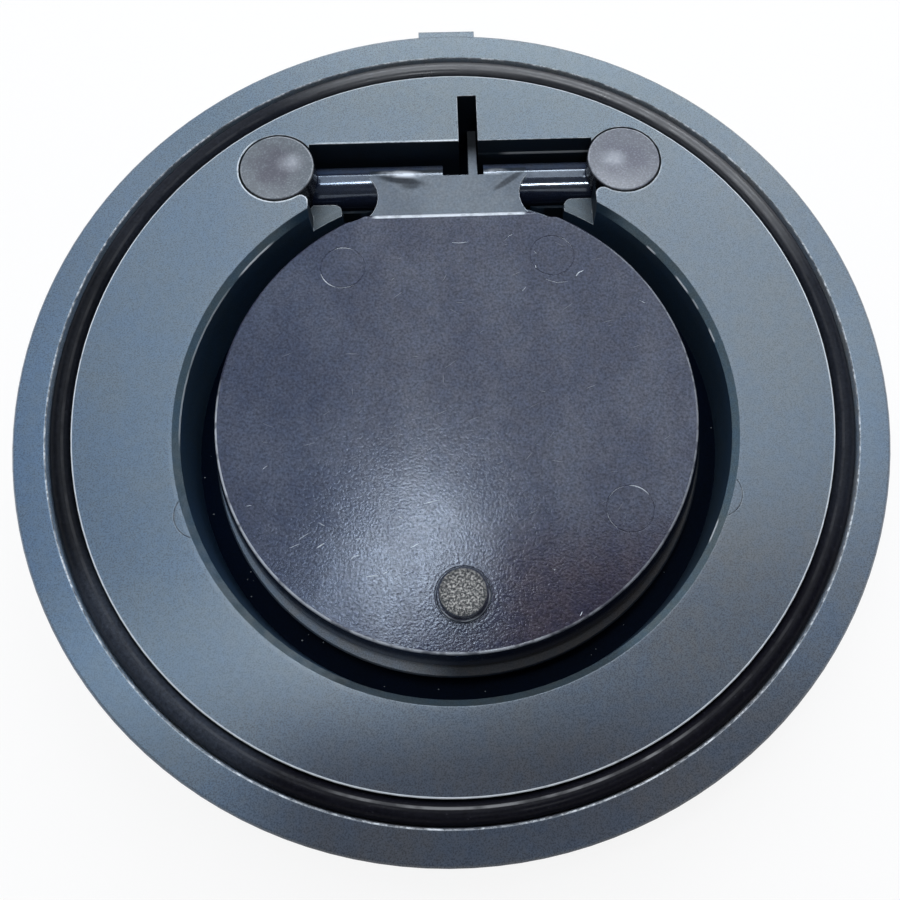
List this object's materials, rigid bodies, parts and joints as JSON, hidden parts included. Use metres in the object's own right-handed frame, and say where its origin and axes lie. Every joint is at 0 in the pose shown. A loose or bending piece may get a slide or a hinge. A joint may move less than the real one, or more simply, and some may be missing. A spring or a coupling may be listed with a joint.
{
  "type": "wafer non-return valve",
  "caption": "Wafer swing check valve: thick round plastic body with a hinged flapper over an offset flow bore, plugged hinge and an O-ring in each flange face.",
  "frame": {"origin": "centre of the body's round outline, on the inlet flange face", "axes": "+Z along the flow, from the inlet face to the outlet face; +Y from the valve's centre towards the hinge; +X to the right, along the hinge"},
  "size_m": [0.218, 0.2204, 0.0313],
  "materials": {
    "body_plastic": "satin, fine faced grain",
    "flapper_plastic": "semi-gloss moulded, lightly scratched",
    "plug_plastic": "satin moulded",
    "rubber": "smooth black rubber"
  },
  "bodies": {
    "body": {"body": "body_plastic", "hinge_plug_left": "plug_plastic", "hinge_plug_right": "plug_plastic", "outlet_face_ring": "rubber", "inlet_face_ring": "rubber"},
    "flapper": {"flapper": "flapper_plastic", "flapper_seal": "rubber"}
  },
  "joints": [
    {"name": "flapper_swing", "type": "hinge", "parent": "body", "child": "flapper", "pos_m": [0, 0.06639, 0.0185], "axis": [-1, 0, 0], "range_deg": [0, 55]}
  ]
}
